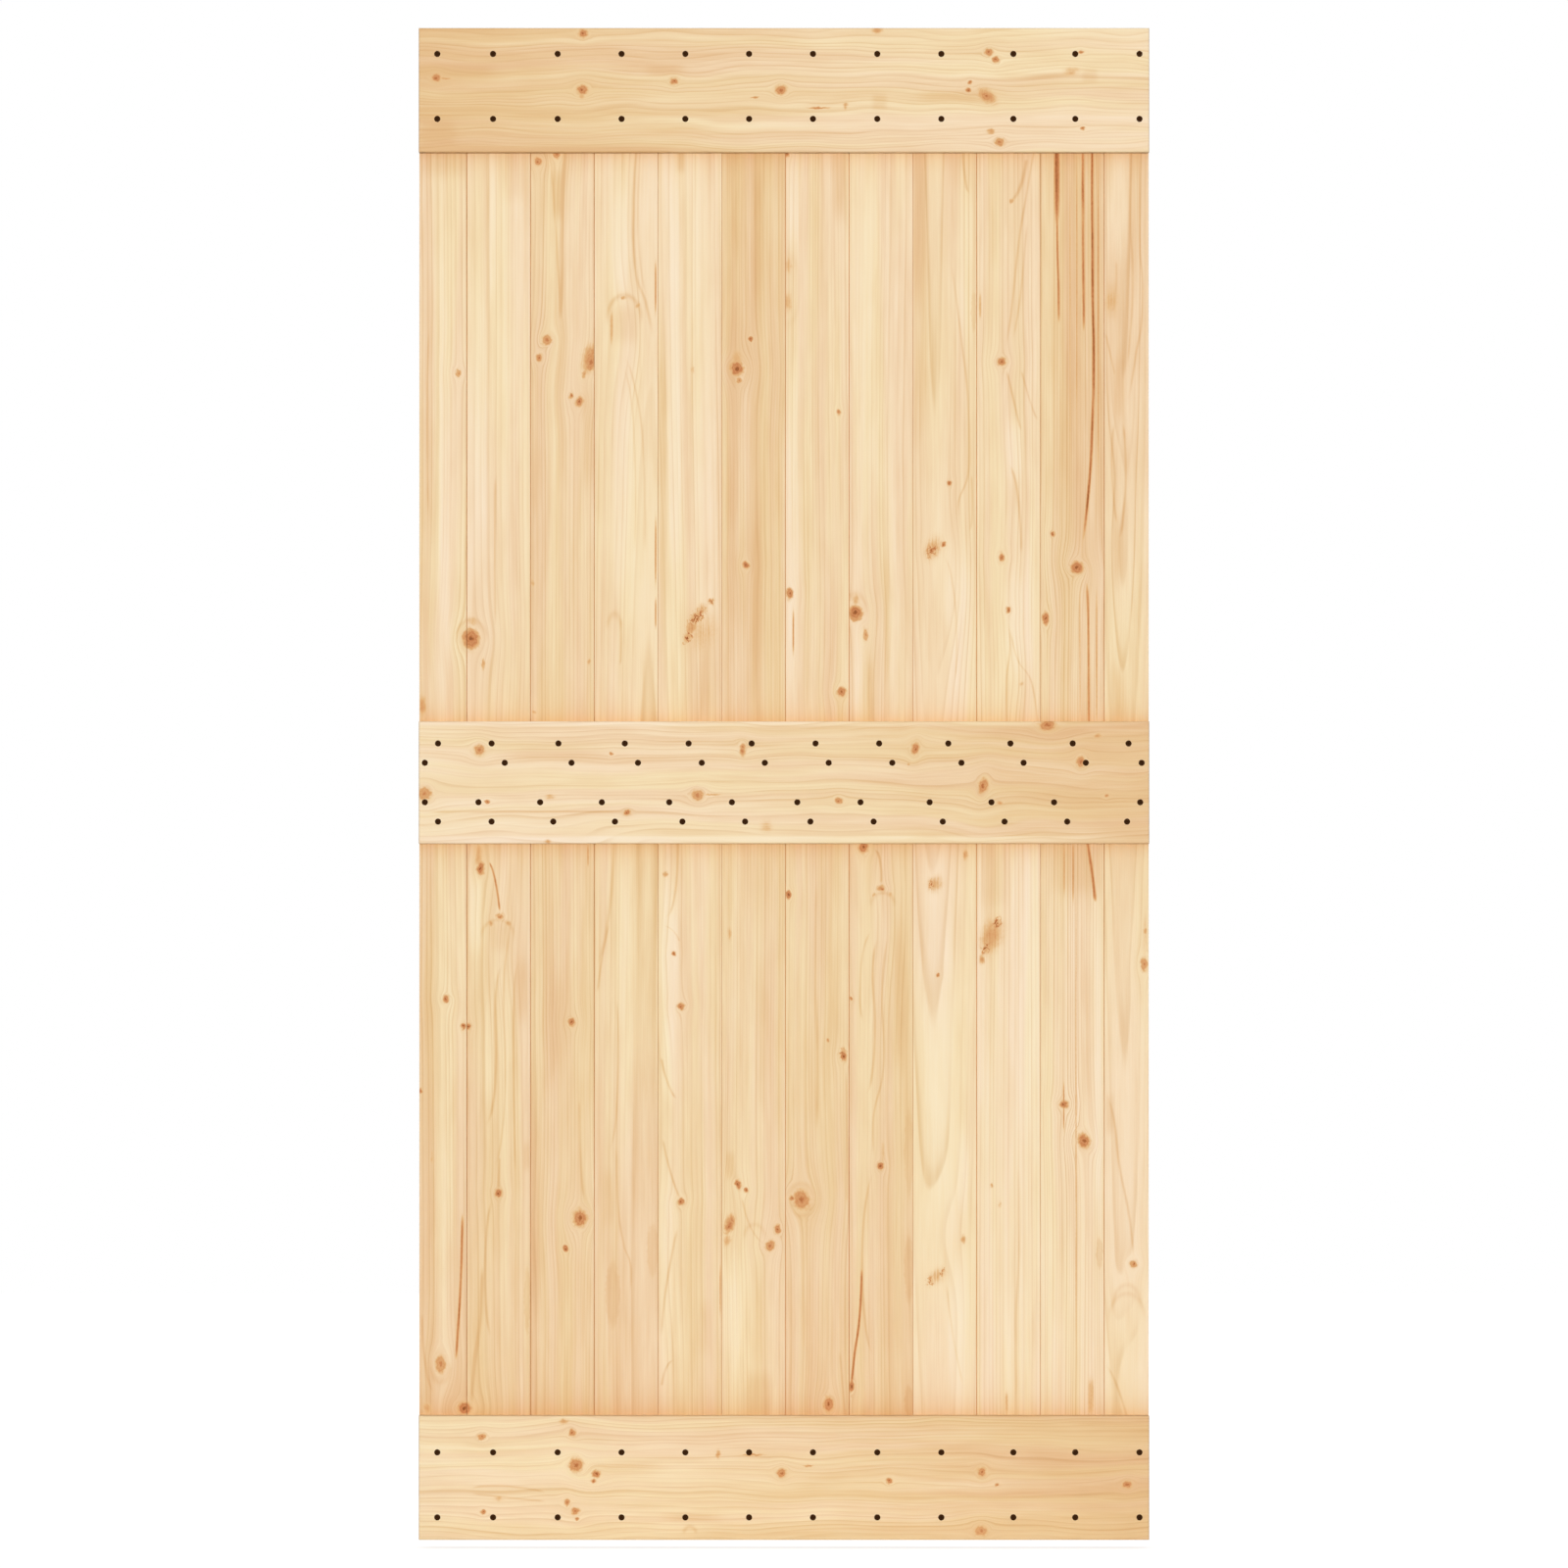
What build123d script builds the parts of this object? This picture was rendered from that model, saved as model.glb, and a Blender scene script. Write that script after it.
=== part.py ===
"""Sliding barn door leaf: vertical tongue-and-groove pine boards screwed to three horizontal rails.

Frame: +Z up, +X along the width, +Y from the front (rail side) to the back, in millimetres.
The origin is the centre of the top rail's front face, where the strap hangers bolt on.
"""
import math
import os

from build123d import *

# Overall size of the leaf
door_width = 1000.0
door_height = 2070.0

# Boards: the first and last are ripped narrower, the others show one full cover width
first_board_width = 65.0
full_board_width = 87.4
board_thickness = 18.0
joint_gaps = (0.7, 0.7, 0.6, 0.3, 0.2, 0.6, 0.7, 0.25, 0.7, 0.35, 0.6)  # open line left at each joint
joint_chamfer = 0.3  # broken arris along every board edge, front and back

# Tongue and groove
tongue_thickness = 5.6
tongue_engagement = 6.0  # how far a tongue reaches into the next board
groove_end_clearance = 0.8
groove_side_clearance = 0.1

# Rails
rail_thickness = 20.0
end_rail_height = 170.0
middle_rail_height = 167.5
middle_rail_raise = 2.0  # the middle rail's centre lies this far above the leaf's middle
rail_arris_radius = 2.0

# Screws: countersunk, driven from the front through the rail into the board behind
screw_length = 35.0
screw_head_diameter = 8.4
screw_head_rim = 0.4
screw_shank_diameter = 3.4
screw_shank_length = 12.0
screw_thread_diameter = 4.5
screw_tip_length = 5.0
screw_sink = 0.3  # the head's top lies this far below the rail's face
screw_hole_clearance = 0.05  # radial, around head, shank and thread
pilot_hole_extra_depth = 0.5
screw_hole_headroom = 1.0  # how far the cutting shape for a hole stands out of the rail's face
screw_edge_distance = 8.0  # least distance from a screw's axis to the edge of its board

# Cross recess in each screw head
recess_span = 4.6
recess_slot_width = 1.0
recess_depth = 2.0
recess_taper_degrees = 6.0

# Rows of screws in the end rails, measured from the leaf's top and bottom edges
top_row_depths = (35.5, 124.5)
bottom_row_heights = (120.0, 31.0)
end_rail_shifts = (-7, -7, -6, -6, -6, -6, -6, -5.5, -5, 6, 3.5, 17)  # from each board's centre

# Rows of screws in the middle rail: an upper and a lower staggered pair
outer_row_offset = 53.5
inner_row_offset = 27.0
upper_pair_shifts = (-6, -9, -5, -1.5, -1.5, -2.5, -2.5, -3, 4.5, 2, 0, 2)
lower_pair_shifts = (-6, -9, -12, -15, -10, -11.5, -9.5, -10.5, -3, -6, -7.5, 0)
pair_stagger = 18.0

# Levels and planes that follow from the sizes above
top_level = end_rail_height / 2
bottom_level = top_level - door_height
middle_rail_level = bottom_level + door_height / 2 + middle_rail_raise
board_front = rail_thickness
board_back = rail_thickness + board_thickness
left_edge = -door_width / 2
right_edge = door_width / 2


def joint_positions():
    """The X of every joint between boards, left to right. The last board takes what is left over."""
    room = door_width - first_board_width - full_board_width
    full_boards = max(1, math.ceil(room / full_board_width))
    return [left_edge + first_board_width + i * full_board_width for i in range(full_boards + 1)]


def board_edges():
    """(left, right) of each board's face, with half of each joint's open line taken off."""
    joints = joint_positions()
    halves = [joint_gaps[i % len(joint_gaps)] / 2 for i in range(len(joints))]
    lefts = [left_edge] + [x + half for x, half in zip(joints, halves)]
    rights = [x - half for x, half in zip(joints, halves)] + [right_edge]
    return list(zip(lefts, rights))


def board_outline(left, right, gap_before, gap_after):
    """Section of one board, looking down. A gap of None is an outer edge, which is plain."""
    c = joint_chamfer
    centre = (board_front + board_back) / 2
    tongue = tongue_thickness / 2
    groove = tongue + groove_side_clearance
    points = [(left + c, board_front), (right - c, board_front), (right, board_front + c)]
    if gap_after is not None:
        reach = right + gap_after + tongue_engagement
        points += [(right, centre - tongue), (reach, centre - tongue)]
        points += [(reach, centre + tongue), (right, centre + tongue)]
    points += [(right, board_back - c), (right - c, board_back), (left + c, board_back), (left, board_back - c)]
    if gap_before is not None:
        depth = left + tongue_engagement + groove_end_clearance
        points += [(left, centre + groove), (depth, centre + groove)]
        points += [(depth, centre - groove), (left, centre - groove)]
    points += [(left, board_front + c)]
    return points


def screw_profile(grow=0.0, extra_length=0.0, head_room=0.0):
    """Half section of a screw, as (radius, depth) from the rail's face. grow widens it into its hole."""
    head = screw_head_diameter / 2 + grow
    shank = screw_shank_diameter / 2 + grow
    thread = screw_thread_diameter / 2 + grow
    seat = screw_sink + screw_head_rim
    cone_end = seat + head - shank
    shank_end = screw_sink + screw_shank_length
    tip = screw_sink + screw_length
    points = [(0, screw_sink - head_room), (head, screw_sink - head_room), (head, seat), (shank, cone_end)]
    if extra_length > 0:
        return points + [(thread, cone_end), (thread, tip + extra_length), (0, tip + extra_length)]
    return points + [(shank, shank_end), (thread, shank_end), (thread, tip - screw_tip_length), (0, tip)]


def turned(profile):
    """A solid turned about the Y axis from a half section of (radius, depth) points."""
    section = make_face(Polyline([(radius, depth) for radius, depth in profile], close=True))
    return revolve(section, Axis.Y)


def make_screw():
    """One countersunk screw with a cross recess, its axis along +Y from the rail's face."""
    slot = Rectangle(recess_span, recess_slot_width) + Rectangle(recess_slot_width, recess_span)
    face_of_head = Plane(origin=(0, screw_sink, 0), x_dir=(1, 0, 0), z_dir=(0, 1, 0))
    recess = extrude(face_of_head * slot, recess_depth, taper=recess_taper_degrees)
    return turned(screw_profile()) - recess


def make_screw_hole():
    """What is cut from the rail and the board for one screw."""
    head_room = screw_sink + screw_hole_headroom
    return turned(screw_profile(screw_hole_clearance, pilot_hole_extra_depth, head_room))


def make_board(index, edges, hole, places):
    """One vertical board with its tongue, groove and pilot holes."""
    left, right = edges[index]
    gap_before = edges[index][0] - edges[index - 1][1] if index > 0 else None
    gap_after = edges[index + 1][0] - right if index + 1 < len(edges) else None
    outline = make_face(Polyline(board_outline(left, right, gap_before, gap_after), close=True))
    board = extrude(Pos(0, 0, bottom_level) * outline, door_height)
    return board - [Pos(x, 0, z) * hole for x, z in places if left < x < right]


def make_rail(level, height, hole, places):
    """One horizontal rail with rounded front arrises and countersunk holes."""
    centre = (0, rail_thickness / 2, level)
    rail = Pos(*centre) * Box(door_width, rail_thickness, height)
    front = rail.faces().sort_by(Axis.Y)[0]
    rail = fillet(front.edges(), rail_arris_radius)
    return rail - [Pos(x, 0, z) * hole for x, z in places]


def screw_x(edges, index, shift):
    """X of a screw in one board: the board's centre plus a shift, kept clear of the board's edges."""
    left, right = edges[index]
    aim = (left + right) / 2 + shift
    return min(max(aim, left + screw_edge_distance), right - screw_edge_distance)


def row_of_places(edges, level, shifts):
    """One screw for each board, at one level."""
    return [(screw_x(edges, i, shifts[i % len(shifts)]), level) for i in range(len(edges))]


def staggered(edges, shifts, side, turned_board):
    """The inner row's shifts: a stagger to one side of the outer row's, the other way on turned_board."""
    signs = [-side if i == turned_board else side for i in range(len(edges))]
    return [shifts[i % len(shifts)] + sign * pair_stagger for i, sign in enumerate(signs)]


def screw_rows(edges):
    """Every row of screws by node name, as lists of (x, z)."""
    last = len(edges) - 1
    upper_inner = staggered(edges, upper_pair_shifts, side=1, turned_board=0)
    lower_inner = staggered(edges, lower_pair_shifts, side=-1, turned_board=last)
    return {
        "top_rail_upper_screws": row_of_places(edges, top_level - top_row_depths[0], end_rail_shifts),
        "top_rail_lower_screws": row_of_places(edges, top_level - top_row_depths[1], end_rail_shifts),
        "middle_rail_screws_row_1": row_of_places(edges, middle_rail_level + outer_row_offset, upper_pair_shifts),
        "middle_rail_screws_row_2": row_of_places(edges, middle_rail_level + inner_row_offset, upper_inner),
        "middle_rail_screws_row_3": row_of_places(edges, middle_rail_level - inner_row_offset, lower_inner),
        "middle_rail_screws_row_4": row_of_places(edges, middle_rail_level - outer_row_offset, lower_pair_shifts),
        "bottom_rail_upper_screws": row_of_places(edges, bottom_level + bottom_row_heights[0], end_rail_shifts),
        "bottom_rail_lower_screws": row_of_places(edges, bottom_level + bottom_row_heights[1], end_rail_shifts),
    }


def build_parts():
    """Every piece of the leaf by node name."""
    edges = board_edges()
    rows = screw_rows(edges)
    hole = make_screw_hole()
    screw = make_screw()
    every_place = [place for row in rows.values() for place in row]
    parts = {f"board_{i + 1:02d}": make_board(i, edges, hole, every_place) for i in range(len(edges))}
    rails = {
        "top_rail": (0.0, end_rail_height),
        "middle_rail": (middle_rail_level, middle_rail_height),
        "bottom_rail": (bottom_level + end_rail_height / 2, end_rail_height),
    }
    for name, (level, height) in rails.items():
        places = [place for row, found in rows.items() if row.startswith(name) for place in found]
        parts[name] = make_rail(level, height, hole, places)
    for name, places in rows.items():
        parts[name] = Compound(children=[Pos(x, 0, z) * screw for x, z in places])
    return parts


os.makedirs("parts", exist_ok=True)
for node, shape in build_parts().items():
    export_step(shape, f"parts/{node}.step")
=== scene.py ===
"""Looks of a sliding barn door leaf: knotty pine boards and rails, held by dark countersunk screws.

Scene lengths are in metres. Inside the wood materials, and for marks in the wood, they are in millimetres.
"""
import math
from collections import namedtuple

import bpy
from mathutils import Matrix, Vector


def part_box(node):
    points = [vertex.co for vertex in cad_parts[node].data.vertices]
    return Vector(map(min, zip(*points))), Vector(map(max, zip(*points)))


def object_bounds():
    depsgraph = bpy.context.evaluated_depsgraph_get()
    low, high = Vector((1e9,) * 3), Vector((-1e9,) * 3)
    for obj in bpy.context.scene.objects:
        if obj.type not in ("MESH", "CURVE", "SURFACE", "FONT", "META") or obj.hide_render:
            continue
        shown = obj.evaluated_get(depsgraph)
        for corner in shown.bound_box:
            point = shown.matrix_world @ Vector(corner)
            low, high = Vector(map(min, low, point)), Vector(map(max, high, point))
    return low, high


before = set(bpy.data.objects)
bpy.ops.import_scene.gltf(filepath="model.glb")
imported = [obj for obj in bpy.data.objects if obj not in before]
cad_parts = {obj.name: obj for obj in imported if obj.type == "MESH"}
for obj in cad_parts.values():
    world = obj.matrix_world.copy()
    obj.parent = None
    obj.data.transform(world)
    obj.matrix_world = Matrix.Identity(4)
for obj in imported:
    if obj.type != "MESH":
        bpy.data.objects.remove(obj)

cad_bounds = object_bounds()
leaf_low, leaf_high = (Vector(corner) for corner in cad_bounds)
MM = 0.001

# How the photograph maps to the leaf
PHOTO_SIZE = 1600
PHOTO_MIDDLE_X = 800.0  # the leaf's middle, in photograph pixels
PHOTO_MIDDLE_Y = 800.0
CAMERA_DISTANCE = 12.0  # from the rails' front face
RAIL_MM_PER_PIXEL = 1.3416  # on the rails' front face
BOARD_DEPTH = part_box("board_05")[0].y
BOARD_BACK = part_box("board_05")[1].y
BOARD_MM_PER_PIXEL = RAIL_MM_PER_PIXEL * (CAMERA_DISTANCE + BOARD_DEPTH) / CAMERA_DISTANCE
LEAF_MIDDLE_Z = (leaf_low.z + leaf_high.z) / 2

RAILS = ("top_rail", "middle_rail", "bottom_rail")

# The stage
SENSOR_WIDTH = 36.0  # millimetres
FLOOR_SIZE = 12.0
FLOOR_GAP = 12 * MM
FLOOR_COLOUR = (0.72, 0.72, 0.72, 1)
FLOOR_GLOW = 0.74  # seen by the camera only, so that the floor looks white
WORLD_STRENGTH = 0.42
SUN_ANGLE = 3  # degrees across
FRONT_STRENGTH = 1.92
FRONT_DIRECTION = (0.02, 1.0, -0.032)
BACK_STRENGTH = 1.80
BACK_DIRECTION = (-0.03, -1.0, -0.035)

# Sizes of what makes up the wood's figure, in millimetres: across the grain, then along it
WOBBLE_SIZE = (80, 700)
WAVE_SIZE = (60, 150)
FADE_SIZE = (12, 500)
FIBRE_SIZE = (1.4, 90)
MOTTLE_SIZE = (16, 110)
BAND_SIZE = (15, 900)
HUE_SIZE = (18, 500)
SPECK_SIZE = (2.6, 4)
CURL_SIZE = (7, 10)
UNEVEN_SIZE = (12, 70)
RELIEF_SIZE = (0.9, 30)
YEARS_SIZE = 18  # across only
YEARS_SHIFT = 3.0  # rings by which narrow and wide years move a ring
RAGGED_SCALE = 0.14  # waves per millimetre in the marks' outlines
RAGGEDNESS = 5.0  # millimetres from side to side that those outlines can wander

# How far the mottle and the fibres change the tone
MOTTLE_SHARE = 0.55
FIBRE_SHARE = 0.42

# How far each part of a knot or burr goes from the first of the knot colours to the last
KNOT_BODY = 0.30
KNOT_RINGS = 0.11
KNOT_HALO = 0.50
KNOT_HEART = 0.17
BURR_PATCH = 0.32
BURR_LINES = 0.62

KNOT_RING_ANGLE = 11.0  # radians of the rings' wave in one knot radius
KNOT_UNEVENNESS = 0.75  # in knot radii
GRAIN_BEND = 1.2  # how far the grain parts at a knot's edge, in knot radii
FAR = 100.0  # further than any knot reaches: the square of 10 radii
RAGGED_KINDS = ("knot", "smudge", "burr", "lens", "disc")
ARCH_LINE_WIDTH = 2.6  # millimetres
VEIN_FALL = -4.0
VEIN_TAPER = 0.12  # share of a vein's length over which each end fades
LINE_LEAST = 0.2  # veins and arches vary along their length, from this share up
LINE_RANGE = 1.6

WOOD_ROUGHNESS = 0.60
FIBRE_ROUGHNESS = 0.14
MARK_ROUGHNESS = -0.04
FIBRE_RELIEF = 0.15 * MM

# Depths in a joint at which its painted shade starts and is full, and the same from the leaf's outer edges
JOINT_START = 0.02 * MM
JOINT_FULL = 0.3 * MM
OUTER_EDGE_START = 0.1 * MM
OUTER_EDGE_FULL = 1.0 * MM

# Wood colours, linear. The first ramp runs from the palest wood to honey brown, and its positions are tones
PALEST_TONE = -0.4
DARKEST_TONE = 1.2
WOOD_COLOURS = (
    (-0.40, (0.958, 0.812, 0.628, 1)),
    (0.00, (0.940, 0.772, 0.556, 1)),
    (0.27, (0.915, 0.726, 0.484, 1)),
    (0.53, (0.868, 0.649, 0.405, 1)),
    (0.80, (0.824, 0.578, 0.328, 1)),
    (1.20, (0.765, 0.486, 0.245, 1)),
)
PINK_TINT = (1.0, 0.984, 0.998, 1)
YELLOW_TINT = (0.997, 1.014, 0.945, 1)
LATEWOOD_TINT = (0.83, 0.69, 0.52, 1)
END_GRAIN_TINT = (0.80, 0.70, 0.56, 1)
# Tint of the painted shade inside the joints between boards
JOINT_SHADE_TINT = (0.95, 0.60, 0.34, 1)
# Tint of the painted shade on the boards beside each rail
RAIL_SHADE_TINT = (0.895, 0.765, 0.630, 1)
KNOT_COLOURS = (
    (0.00, (0.860, 0.620, 0.350, 1)),
    (0.20, (0.760, 0.455, 0.195, 1)),
    (0.40, (0.670, 0.318, 0.118, 1)),
    (0.60, (0.565, 0.208, 0.066, 1)),
    (0.80, (0.425, 0.130, 0.026, 1)),
    (1.00, (0.230, 0.066, 0.008, 1)),
)

SCREW_COLOURS = ((0.030, 0.010, 0.002, 1), (0.062, 0.022, 0.004, 1))

# Painted shade beside each rail: how strongly the boards' front is tinted warmer and darker there, and over
# how many millimetres it fades
PAINTED_RAIL_SHADE = {"top_rail": (0.85, 15.0), "middle_rail": (1.0, 15.0), "bottom_rail": (1.15, 24.0)}


class Tree:
    """Short calls that build one node tree. A value is a number, a tuple or another node's output."""

    def __init__(self, tree):
        self.tree = tree

    def feed(self, socket, value):
        if isinstance(value, bpy.types.NodeSocket):
            self.tree.links.new(value, socket)
        else:
            socket.default_value = value

    def add(self, kind, inputs=None, **settings):
        node = self.tree.nodes.new(kind)
        for name, value in settings.items():
            setattr(node, name, value)
        for key, value in (inputs or {}).items():
            self.feed(node.inputs[key], value)
        return node

    def math(self, operation, *values):
        node = self.add("ShaderNodeMath", operation=operation)
        for socket, value in zip(node.inputs, values):
            self.feed(socket, value)
        return node.outputs[0]

    def times(self, first, second):
        return self.math("MULTIPLY", first, second)

    def times_plus(self, first, second, third):
        """The first times the second, plus the third."""
        return self.math("MULTIPLY_ADD", first, second, third)

    def plus(self, first, second):
        return self.math("ADD", first, second)

    def minus(self, first, second):
        return self.math("SUBTRACT", first, second)

    def larger(self, first, second):
        return self.math("MAXIMUM", first, second)

    def vector(self, x=0.0, y=0.0, z=0.0):
        return self.add("ShaderNodeCombineXYZ", {"X": x, "Y": y, "Z": z}).outputs[0]

    def length(self, x, y):
        node = self.add("ShaderNodeVectorMath", operation="LENGTH")
        self.feed(node.inputs[0], self.vector(x, y))
        return node.outputs["Value"]

    def step(self, value, low, high):
        """Rises smoothly from 0 at low to 1 at high, or falls where low is above high."""
        inputs = {"Value": value, "From Min": low, "From Max": high}
        return self.add("ShaderNodeMapRange", inputs, interpolation_type="SMOOTHSTEP").outputs[0]

    def noise(self, place, scale=1.0, detail=2.0, roughness=0.5):
        inputs = {"Vector": place, "Scale": scale, "Detail": detail, "Roughness": roughness}
        return self.add("ShaderNodeTexNoise", inputs).outputs[0]

    def flat_noise(self, place, size, offset, **settings):
        """Noise at two lengths, with features of the given two sizes. Each offset has noise of its own."""
        x, y = (self.times(length, 1 / share) for length, share in zip(place, size))
        return self.noise(self.vector(x, y, offset), **settings)

    def centred(self, noise):
        return self.minus(noise, 0.5)

    def bell(self, value, fall=-1.0):
        """1 where the value is 0, falling softly as it grows."""
        return self.math("EXPONENT", self.times(value, fall))

    def mix(self, factor, first, second, blend="MIX"):
        inputs = {0: factor, 6: first, 7: second}
        return self.add("ShaderNodeMix", inputs, data_type="RGBA", blend_type=blend).outputs[2]

    def ramp(self, factor, stops):
        node = self.add("ShaderNodeValToRGB", {"Fac": factor})
        elements = node.color_ramp.elements
        while len(elements) < len(stops):
            elements.new(0.5)
        for element, (position, colour) in zip(elements, stops):
            element.position = position
            element.color = colour
        return node.outputs["Color"]

    def group(self, tree, inputs):
        return self.add("ShaderNodeGroup", inputs, node_tree=tree).outputs


def blank_tree(owner):
    """The node tree of a material or world, emptied."""
    owner.use_nodes = True
    owner.node_tree.nodes.clear()
    return Tree(owner.node_tree)


def new_group(name, inputs, outputs):
    """A node group with float inputs, and outputs given as (name, socket type)."""
    group = bpy.data.node_groups.new(name, "ShaderNodeTree")
    for key in inputs:
        group.interface.new_socket(key, in_out="INPUT", socket_type="NodeSocketFloat")
    for key, kind in outputs:
        group.interface.new_socket(key, in_out="OUTPUT", socket_type=kind)
    tree = Tree(group)
    source = tree.add("NodeGroupInput").outputs
    sink = tree.add("NodeGroupOutput").inputs
    return group, tree, source, sink


def slanted(t, place, across_share, along_share, middle):
    """A share of the place across the grain plus one of the place along it, zero at the middle."""
    start = -across_share * middle[0] - along_share * middle[1]
    if along_share:
        start = t.times_plus(place[1], along_share, start)
    return t.times_plus(place[0], across_share, start)


def add_marks(t, place, ragged_place, unevenness, marks):
    """What the marks do at a place, by name. Lengths from a mark's middle are in its own radii."""
    bend, tone, stain, burr, nearest, depth = 0.0, 0.0, 0.0, 0.0, FAR, 0.0
    for mark, middle in marks:
        here = ragged_place if mark.kind in RAGGED_KINDS else place
        cos, sin = math.cos(math.radians(mark.lean)), math.sin(math.radians(mark.lean))
        long_radius = mark.radius * mark.stretch
        u = slanted(t, here, cos / mark.radius, -sin / mark.radius, middle)
        v = t.times_plus(here[1], 1 / long_radius, -middle[1] / long_radius)
        if mark.lean:
            v = slanted(t, here, sin / long_radius, cos / long_radius, middle)
        u_square = t.times(u, u)
        v_square = t.times(v, v)
        if mark.kind == "wash":
            fourth = t.times_plus(u_square, u_square, t.times(v_square, v_square))
            tone = t.times_plus(t.bell(fourth), mark.depth, tone)
            continue
        if mark.kind == "streak":
            v_square = t.times(v_square, v_square)
        square = t.plus(u_square, v_square)
        if mark.kind == "knot":
            closer = t.math("LESS_THAN", square, nearest)
            nearest = t.math("MINIMUM", square, nearest)
            depth = t.times_plus(closer, t.minus(mark.depth, depth), depth)
            fade = t.math("DIVIDE", u, t.larger(t.times(square, 0.5), 1.0))
            bend = t.times_plus(fade, -GRAIN_BEND * mark.radius, bend)
            continue
        if mark.kind == "arch":
            off_line = t.minus(t.math("SQRT", square), 1.0)
            off_line = t.times(off_line, mark.radius / ARCH_LINE_WIDTH)
            soft = t.times(t.bell(t.times(off_line, off_line)), unevenness)
            soft = t.times(soft, t.step(v, -0.4, 0.5))
            tone = t.times_plus(soft, mark.depth, tone)
            continue
        if mark.kind in ("lens", "disc"):
            inside = t.step(square, 1.5, 0.5)
            darker_rim = t.times_plus(square, 0.35 * mark.depth, 0.70 * mark.depth)
            soft = t.times(inside, darker_rim)
        else:
            fall = -1.0 if mark.kind == "streak" else -2.0
            soft = t.math("EXPONENT", t.times_plus(square, fall, math.log(mark.depth)))
        if mark.kind == "lens":
            tone = t.plus(tone, soft)
            continue
        if mark.kind == "burr":
            burr = t.larger(burr, soft)
        else:
            stain = t.larger(stain, soft)
    return {"Bend": bend, "Marked Tone": tone, "Stain": stain, "Burr": burr,
            "Knot Radius": t.math("SQRT", nearest), "Knot Depth": depth}


def add_veins(t, place, unevenness, veins):
    """The tone and the stain of thin dark lines, each along a smooth curve through its points."""
    tone, stain = 0.0, 0.0
    for vein, points in veins:
        points = sorted(points, key=lambda point: point[1])
        start, end = points[0][1], points[-1][1]
        low = min(across for across, along in points)
        spread = max(across for across, along in points) - low + 0.001
        share = t.times_plus(place[1], 1 / (end - start), -start / (end - start))
        curve = t.add("ShaderNodeFloatCurve", {"Value": share})
        line = curve.mapping.curves[0]
        while len(line.points) < len(points):
            line.points.new(0.5, 0.5)
        for knob, (across, along) in zip(line.points, points):
            knob.location = ((along - start) / (end - start), (across - low) / spread)
        curve.mapping.update()
        centre = t.times_plus(curve.outputs[0], spread / vein.width, low / vein.width)
        off_line = t.minus(t.times(place[0], 1 / vein.width), centre)
        square = t.times(off_line, off_line)
        soft = t.times(t.bell(square, VEIN_FALL), unevenness)
        ends = t.times(t.step(share, 0.0, VEIN_TAPER), t.step(share, 1.0, 1.0 - VEIN_TAPER))
        soft = t.times(soft, ends)
        tone = t.times_plus(soft, vein.tone, tone)
        if vein.stain:
            stain = t.larger(stain, t.times(soft, vein.stain))
    return tone, stain


def add_swells(t, place, swells):
    """Rises in the growth rings, which turn the lines over them into long loops and arches."""
    total = 0.0
    for swell, middle in swells:
        long_radius = swell.radius * swell.stretch
        u = t.times_plus(place[0], 1 / swell.radius, -middle[0] / swell.radius)
        v = t.times_plus(place[1], 1 / long_radius, -middle[1] / long_radius)
        square = t.times_plus(u, u, t.times(v, v))
        total = t.times_plus(t.bell(square), swell.height, total)
    return total


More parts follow.
